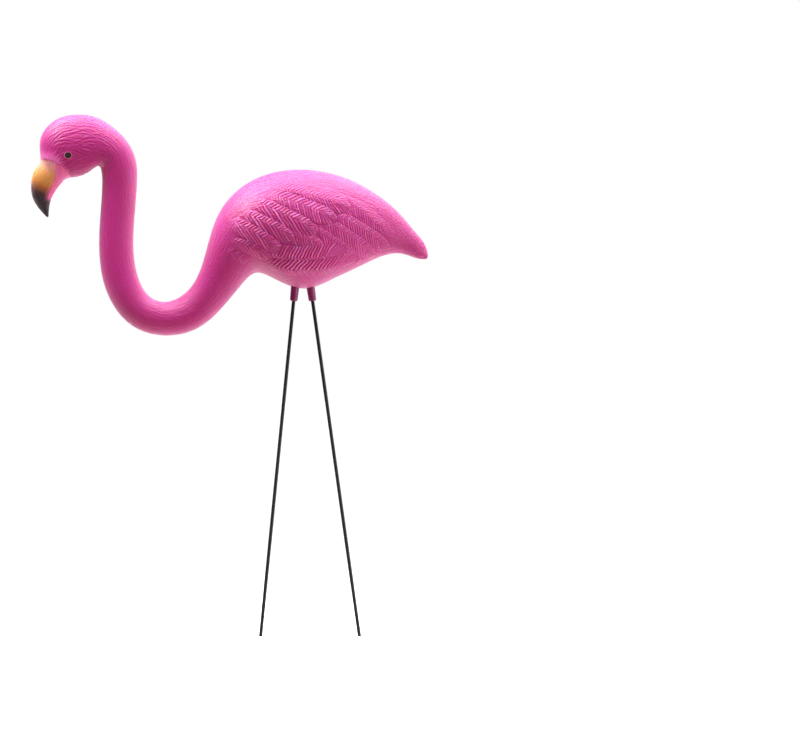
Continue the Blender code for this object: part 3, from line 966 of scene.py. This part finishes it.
@dataclass
class MouldedBird:
    """The whole casting, head to tail, as one closed skin wrapped from a flat sheet.

    Spacings say how far apart, in metres, the sheet's cross lines lie up to each landmark, and
    turn_lines how many long lines there are up to each angle from the top, in degrees.
    """

    form: BirdForm
    plumage: Plumage
    face: FaceRelief
    finish: MouldedPink = field(default_factory=MouldedPink)
    spacings: tuple[tuple[Landmark, float], ...] = (
        (Landmark.TAIL_ROOT, 0.0030), (Landmark.SHOULDER, 0.0036), (Landmark.NECK_FOOT, 0.0050),
        (Landmark.NECK_TOP, 0.0070), (Landmark.NAPE, 0.0045), (Landmark.BROW, 0.0023),
        (Landmark.BEAK_TIP, 0.0019),
    )
    end_lines: tuple[float, ...] = (0.0, 0.12, 0.45)
    turn_lines: tuple[tuple[float, int], ...] = (
        (2.2, 2), (38.0, 6), (146.0, 33), (177.8, 6), (180.0, 2)
    )
    wing_turn: Pair = (34.0, 152.0)
    cheek_turn: Pair = (36.0, 145.0)
    feather_margin: float = 0.15
    feather_cuts: int = 3
    head_cuts: int = 1
    # Weights that turn the relief's height into painted shade and painted highlight on the pink.
    relief_shade_weights: Triple = (0.42, 0.60, 0.16)

    @property
    def place_lines(self) -> Array:
        """Space the sheet's cross lines, closer together on the head.

        Returns:
            Their places along the bird, in metres.
        """
        knots = self.form.line.knots
        rounding = self.form.end_rounding
        lines = [rounding * share for share in self.end_lines]
        start = rounding
        for last, spacing in self.spacings:
            stop = float(knots[last]) - (rounding if last is Landmark.BEAK_TIP else 0.0)
            steps = max(1, round((stop - start) / spacing))
            lines += [start + (stop - start) * step / steps for step in range(steps)]
            start = stop
        lines += [self.form.end - rounding * share for share in (1.0, *self.end_lines[::-1])]
        return np.array(lines)

    @property
    def half_turns(self) -> Array:
        """Space the sheet's long lines, closer together at the mould's seam.

        Returns:
            Their angles, from the top down one side.
        """
        lines = []
        start = 0.0
        for stop, steps in self.turn_lines:
            lines += [start + (stop - start) * step / steps for step in range(steps)]
            start = stop
        return np.radians(np.array(lines + [180.0]))

    def lay_sheet(self) -> Object:
        """Add a grid and space its lines.

        Returns:
            The sheet, in which x is the place along the bird and y the turn round it.
        """
        half = self.half_turns
        turns = np.concatenate((half, 2.0 * math.pi - half[-2::-1]))
        places = self.place_lines
        start_fresh()
        bpy.ops.mesh.primitive_grid_add(
            x_subdivisions=len(places) - 1, y_subdivisions=len(turns) - 1, size=2.0
        )
        sheet = bpy.context.object
        sheet.name = "moulded_bird"
        at = vertex_places(sheet.data)
        across = (at[:, 0] + 1.0) / 2.0 * (len(places) - 1)
        up = (at[:, 1] + 1.0) / 2.0 * (len(turns) - 1)
        at[:, 0] = np.interp(across, np.arange(len(places)), places)
        at[:, 1] = np.interp(up, np.arange(len(turns)), turns)
        sheet.data.vertices.foreach_set("co", at.ravel())
        return sheet

    def subdivide_where(self, sheet: Object, chosen: Array, cuts: int) -> None:
        """Cut the chosen faces of the sheet finer.

        Args:
            sheet: The flat sheet.
            chosen: One truth value for each face.
            cuts: How many cuts each of their edges gets.
        """
        select_faces(sheet.data, chosen)
        with editing():
            bpy.ops.mesh.subdivide(number_cuts=cuts, ngon=True)

    def refine(self, sheet: Object) -> None:
        """Cut the sheet finer under the feathers and on the sides of the head.

        Args:
            sheet: The flat sheet.
        """
        knots = self.form.line.knots
        at = face_places(sheet.data)
        skin = self.form.skin(at[:, 0], at[:, 1])
        x, z = self.form.hundredths(skin[:, 0], skin[:, 2])
        on_wing = self.faces_sideways(at[:, 1], self.wing_turn) & (at[:, 0] < knots[Landmark.BREAST])
        near = self.plumage.lies_on(x, z, self.feather_margin)
        self.subdivide_where(sheet, near & on_wing, self.feather_cuts)
        at = face_places(sheet.data)
        on_head = (at[:, 0] > knots[Landmark.BACK_OF_HEAD]) & (at[:, 0] < knots[Landmark.BEAK_MIDDLE])
        on_cheek = on_head & self.faces_sideways(at[:, 1], self.cheek_turn)
        self.subdivide_where(sheet, on_cheek, self.head_cuts)

    def faces_sideways(self, turn: Array, span: Pair) -> Array:
        """Tell which angles round the bird lie within a span of degrees from its top, on either side."""
        swing = np.degrees(np.minimum(turn, 2.0 * math.pi - turn))
        return (swing > span[0]) & (swing < span[1])

    def wrap(self, sheet: Object) -> None:
        """Wrap the sheet round the bird's form and raise all relief on it.

        Args:
            sheet: The flat sheet.
        """
        mesh = sheet.data
        at = vertex_places(mesh)
        place, turn = at[:, 0], at[:, 1]
        corners = np.zeros(len(mesh.loops), dtype=np.int32)
        mesh.loops.foreach_get("vertex_index", corners)
        layer = mesh.uv_layers.new(name="along_and_around")
        flat = np.column_stack((place, turn / (2.0 * math.pi)))[corners]
        layer.data.foreach_set("uv", flat.ravel())
        skin = self.form.skin(place, turn)
        x, z = self.form.hundredths(skin[:, 0], skin[:, 2])
        swing = np.degrees(np.minimum(turn, 2.0 * math.pi - turn))
        side = fade(24.0, 38.0, swing) * fade(158.0, 146.0, swing)
        side = side * (place < self.form.line.knots[Landmark.NECK_FOOT])
        feathers = self.plumage.lay(x, z)
        head = self.face.carve(x, z, place, turn)
        height = (feathers["height"] + feathers["barb"]) * side + head["height"]
        wrapped = skin + self.form.outward(place, turn) * height[:, None]
        wrapped[:, 1] = np.where(np.abs(np.sin(turn)) < 1e-6, 0.0, wrapped[:, 1])
        ends = np.minimum(place, self.form.end - place) < 1e-9
        wrapped[ends] = skin[ends]
        mesh.vertices.foreach_set("co", wrapped.ravel())
        # The ridge attribute carries the relief's height, which the finish turns into painted shade and
        # highlight.
        flat, on_barb, on_strand = self.relief_shade_weights
        strands = head["streak"] * head["height"] / self.face.streak_height
        for name, values in (
            ("ridge", flat + on_barb * feathers["barb"] / MILLIMETRE * side + on_strand * strands),
            ("beak", head["beak"]),
            ("jaw", head["jaw"]),
            ("beak_run", head["run"]),
            ("barb_count", feathers["count"]),
            ("barb_depth", feathers["depth"] * side),
        ):
            kept = mesh.attributes.new(name, "FLOAT", "POINT")
            kept.data.foreach_set("value", values.astype(np.float32))

    def close(self, sheet: Object) -> None:
        """Sew up the long seam and the two ends, and turn all faces outwards.

        Args:
            sheet: The wrapped sheet. Not used; the operators act on the active piece.
        """
        with editing():
            bpy.ops.mesh.select_all(action="SELECT")
            bpy.ops.mesh.remove_doubles(threshold=HAIR)
            bpy.ops.mesh.fill_holes(sides=4)
            bpy.ops.mesh.normals_make_consistent(inside=False)
        bpy.ops.object.shade_smooth()

    def build(self) -> Object:
        """Make the casting's mesh.

        Returns:
            The bare casting.
        """
        sheet = self.lay_sheet()
        self.refine(sheet)
        self.wrap(sheet)
        self.close(sheet)
        return sheet

    def dress(self, piece: Object) -> None:
        """Give the casting its finish and put it in place of its solid.

        Args:
            piece: The bare casting.
        """
        piece.data.materials.append(self.finish.make())
        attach(piece, "root")
        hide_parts("flamingo_body")


class LegEnd(Enum):
    """The two legs, by the name that their solids carry."""

    FRONT = "front"
    REAR = "rear"


@dataclass
class WireLeg:
    """One leg: a wire set in the ground, and the sleeve that holds its head in the belly."""

    end: LegEnd
    form: BirdForm
    foot_reach: float
    socket_spacing: float = 0.0215
    sleeve_top: float = 0.0122
    sleeve_foot: float = 0.0104
    sleeve_drop: float = 0.018
    sleeve_depth: float = 0.016
    sleeve_end_wall: float = 0.002
    lips: tuple[tuple[float, int], ...] = ((0.0022, 5), (0.0004, 2))
    wire_diameter: float = 0.0048
    head_room: float = 0.004
    head_rounding: float = 0.3
    fit_gap: float = 0.0003
    sleeve_sides: int = 48
    wire_sides: int = 32
    sharp_angle: float = math.radians(35.0)
    sleeve_finish: PlumSleevePlastic = field(default_factory=PlumSleevePlastic)
    wire_finish: LacqueredWire = field(default_factory=LacqueredWire)

    @property
    def forward(self) -> float:
        """-1 for the front leg, which stands ahead along -X, and 1 for the rear one."""
        return -1.0 if self.end is LegEnd.FRONT else 1.0

    @property
    def foot(self) -> Vector:
        """Where the wire's centre line meets the ground."""
        return Vector((self.forward * self.foot_reach, 0.0, 0.0))

    @property
    def hip(self) -> Vector:
        """Where the leg's centre line enters the belly."""
        ahead = -self.form.belly_ahead + self.forward * self.socket_spacing / 2.0
        return Vector((ahead, 0.0, self.form.belly_height))

    @property
    def upright(self) -> Matrix:
        """Matrix that puts +Z up the leg with the origin at its hip."""
        turn = (self.hip - self.foot).normalized().to_track_quat("Z", "Y").to_matrix().to_4x4()
        return Matrix.Translation(self.hip) @ turn

    def build_sleeve(self) -> Object:
        """Model the sleeve: bored, a little narrower at its foot, and with a rounded lower lip.

        Returns:
            The bare sleeve.
        """
        outer = self.sleeve_foot / 2.0
        bore = self.wire_diameter / 2.0 + self.fit_gap
        length = self.sleeve_drop + self.sleeve_depth
        start_fresh()
        bpy.ops.mesh.primitive_cone_add(
            vertices=self.sleeve_sides, radius1=outer, radius2=self.sleeve_top / 2.0, depth=length,
            location=(0.0, 0.0, (self.sleeve_depth - self.sleeve_drop) / 2.0),
        )
        sleeve = bpy.context.object
        sleeve.name = f"{self.end.value}_leg_sleeve"
        bpy.ops.object.transform_apply()
        select_faces(sleeve.data, face_places(sleeve.data)[:, 2] < -self.sleeve_drop + HAIR)
        bored = (0.0, 0.0, length - self.sleeve_end_wall)
        with editing():
            bpy.ops.mesh.inset(thickness=outer - bore)
            bpy.ops.mesh.extrude_region_move(TRANSFORM_OT_translate={"value": bored})
        for radius, (width, segments) in zip((outer, bore), self.lips):
            self.round_lip(sleeve, radius, width, segments)
        sleeve.data.transform(self.upright)
        bpy.ops.object.shade_smooth_by_angle(angle=self.sharp_angle)
        return sleeve

    def round_lip(self, sleeve: Object, radius: float, width: float, segments: int) -> None:
        """Bevel the sleeve's lower rim that has a given radius.

        Args:
            sleeve: The sleeve, standing upright with its hip at the origin.
            radius: Which rim, by its radius.
            width: How much is taken off.
            segments: How many steps the rounding has.
        """
        mesh = sleeve.data
        at = vertex_places(mesh)
        at_rim = np.abs(np.hypot(at[:, 0], at[:, 1]) - radius) < HAIR
        on_rim = at_rim & (at[:, 2] < -self.sleeve_drop + HAIR)
        ends = np.zeros(len(mesh.edges) * 2, dtype=np.int32)
        mesh.edges.foreach_get("vertices", ends)
        chosen = on_rim[ends.reshape(-1, 2)].all(axis=1)
        bpy.context.tool_settings.mesh_select_mode = (False, True, False)
        mesh.vertices.foreach_set("select", on_rim)
        mesh.polygons.foreach_set("select", np.zeros(len(mesh.polygons), dtype=bool))
        mesh.edges.foreach_set("select", chosen)
        with editing():
            bpy.ops.mesh.bevel(offset=width, segments=segments, affect="EDGES")

    def build_wire(self) -> Object:
        """Model the wire: a slim rod cut off level with the ground, its head broken round.

        Returns:
            The bare wire.
        """
        radius = self.wire_diameter / 2.0
        head = self.sleeve_depth - self.head_room
        below = (self.hip - self.foot).length + 4.0 * radius
        start_fresh()
        bpy.ops.mesh.primitive_cylinder_add(
            vertices=self.wire_sides, radius=radius, depth=head + below,
            location=(0.0, 0.0, (head - below) / 2.0),
        )
        wire = bpy.context.object
        wire.name = f"{self.end.value}_leg_wire"
        bpy.ops.object.transform_apply()
        select_faces(wire.data, face_places(wire.data)[:, 2] > head - HAIR)
        with editing():
            bpy.ops.mesh.bevel(offset=radius * self.head_rounding, segments=3)
        wire.data.transform(self.upright)
        with editing():
            bpy.ops.mesh.select_all(action="SELECT")
            bpy.ops.mesh.bisect(
                plane_co=(0.0, 0.0, 0.0), plane_no=(0.0, 0.0, 1.0), use_fill=True, clear_inner=True
            )
            bpy.ops.mesh.select_all(action="SELECT")
            bpy.ops.mesh.normals_make_consistent(inside=False)
        bpy.ops.object.shade_smooth_by_angle(angle=self.sharp_angle)
        return wire

    def dress(self, sleeve: Object, wire: Object) -> None:
        """Give both pieces their finish and put them in place of their solids.

        Args:
            sleeve: The bare sleeve.
            wire: The bare wire.
        """
        sleeve.data.materials.append(self.sleeve_finish.make())
        wire.data.materials.append(self.wire_finish.make())
        for piece, node, slot in (
            (sleeve, f"{self.end.value}_leg_socket", "plum_plastic"),
            (wire, f"{self.end.value}_leg_rod", "black_wire"),
        ):
            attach(piece, "root")
            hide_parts(node)


@dataclass(frozen=True)
class SoftBox:
    """A square lamp with a diffusing front: its name, place, side in metres and power in watts."""

    name: str
    place: Triple
    side: float
    power: float


@dataclass
class Studio:
    """White paper floor, soft light from above and behind, and the camera at the photograph's angle.

    The room's glow is brightest behind the bird, a little uneven from left to right, and gets more
    from the right and from above. A camera ray sees it plain white.
    """

    floor_width: float = 120.0
    metres_per_pixel: float = 0.00136
    image_width: int = 800
    camera_distance: float = 9.0
    sensor_mm: float = 36.0
    looked_at: Pair = (0.1231, 0.3665)
    behind_glow: tuple[float, ...] = (0.15, 0.95, 0.06, 1.3)
    unevenness: tuple[float, ...] = (-0.8, 0.4, 0.4, 1.0)
    right_glow: tuple[float, ...] = (-0.2, 0.9, 0.0, 0.35)
    top_glow: tuple[float, ...] = (0.1, 0.9, 0.0, 0.35)
    lit_place: Triple = (-0.1, 0.0, 0.5)
    lamps: tuple[SoftBox, ...] = (
        SoftBox("soft_box_above", (0.15, 0.05, 2.2), 2.4, 78.0),
        SoftBox("soft_box_left", (-1.15, -0.1, 1.9), 0.8, 46.0),
        SoftBox("soft_box_right", (2.0, 0.7, 0.9), 1.8, 22.0),
        SoftBox("soft_box_low", (0.9, -0.5, 0.2), 0.6, 5.5),
    )
    paper: StudioPaper = field(default_factory=StudioPaper)

    def lay_floor(self) -> None:
        """Roll out the floor at ground level."""
        start_fresh()
        bpy.ops.mesh.primitive_grid_add(x_subdivisions=8, y_subdivisions=8, size=self.floor_width)
        floor = bpy.context.object
        floor.name = "studio_floor"
        floor.data.materials.append(self.paper.make())

    def light_room(self) -> None:
        """Fill the room with white light, dimmer from the camera's side than from behind and above."""
        world = bpy.data.worlds.new("white_room")
        bpy.context.scene.world = world
        world.use_nodes = True
        tree = world.node_tree
        way = add_node(tree, "TexCoord", out="Generated")
        glows = []
        for axis, (start, stop, low, high) in (
            ("Y", self.behind_glow), ("X", self.unevenness), ("X", self.right_glow), ("Z", self.top_glow)
        ):
            share = add_node(tree, "SeparateXYZ", {0: way}, out=axis)
            levels = {0: share, 1: start, 2: stop, 3: low, 4: high}
            glows.append(add_node(tree, "MapRange", levels, interpolation_type="SMOOTHSTEP"))
        behind, uneven, right, above = glows
        total = add_node(tree, "Math", {0: behind, 1: uneven}, operation="MULTIPLY")
        for glow in (right, above):
            total = add_node(tree, "Math", {0: total, 1: glow}, operation="ADD")
        seen = add_node(tree, "LightPath", out="Is Camera Ray")
        strength = add_node(tree, "Mix", {0: seen, 2: total, 3: 1.0})
        feed(tree.nodes["Background"], {"Color": (1.0, 1.0, 1.0, 1.0), "Strength": strength})

    def hang(self, box: SoftBox) -> None:
        """Hang a soft box so that it points at the bird.

        Args:
            box: The soft box.
        """
        lamp = bpy.data.lights.new(box.name, "AREA")
        lamp.shape = "SQUARE"
        lamp.size = box.side
        lamp.energy = box.power
        item = bpy.data.objects.new(box.name, lamp)
        item.location = box.place
        item.visible_camera = False
        aim = Vector(self.lit_place) - Vector(box.place)
        item.rotation_euler = aim.to_track_quat("-Z", "Y").to_euler()
        bpy.context.scene.collection.objects.link(item)

    def set_camera(self) -> None:
        """Put the camera level with the picture's middle, looking along +Y."""
        camera = bpy.data.cameras.new("camera")
        camera.sensor_width = self.sensor_mm
        seen_width = self.metres_per_pixel * self.image_width
        camera.lens = self.sensor_mm * self.camera_distance / seen_width
        item = bpy.data.objects.new("camera", camera)
        item.location = (self.looked_at[0], -self.camera_distance, self.looked_at[1])
        item.rotation_euler = (math.radians(90.0), 0.0, 0.0)
        bpy.context.scene.collection.objects.link(item)
        bpy.context.scene.camera = item

    def build(self) -> None:
        """Set up the whole room."""
        self.set_camera()
        self.lay_floor()
        self.light_room()
        for box in self.lamps:
            self.hang(box)
        bpy.context.scene.view_settings.view_transform = "Standard"


def main() -> None:
    """Build and dress every piece, then the studio."""
    logging.basicConfig(level=logging.INFO, format="%(name)s: %(message)s")
    form = BirdForm()
    bird = MouldedBird(form, Plumage(form), FaceRelief(form))
    casting = bird.build()
    bird.dress(casting)
    casting.data.calc_loop_triangles()
    LOG.info("%s: %d triangles", casting.name, len(casting.data.loop_triangles))
    for end, reach in ((LegEnd.FRONT, 0.0665), (LegEnd.REAR, 0.068)):
        leg = WireLeg(end, form, reach)
        sleeve, wire = leg.build_sleeve(), leg.build_wire()
        leg.dress(sleeve, wire)
        faces = len(sleeve.data.polygons) + len(wire.data.polygons)
        LOG.info("%s and %s: %d faces", sleeve.name, wire.name, faces)
    Studio().build()


if __name__ == "__main__":
    main()
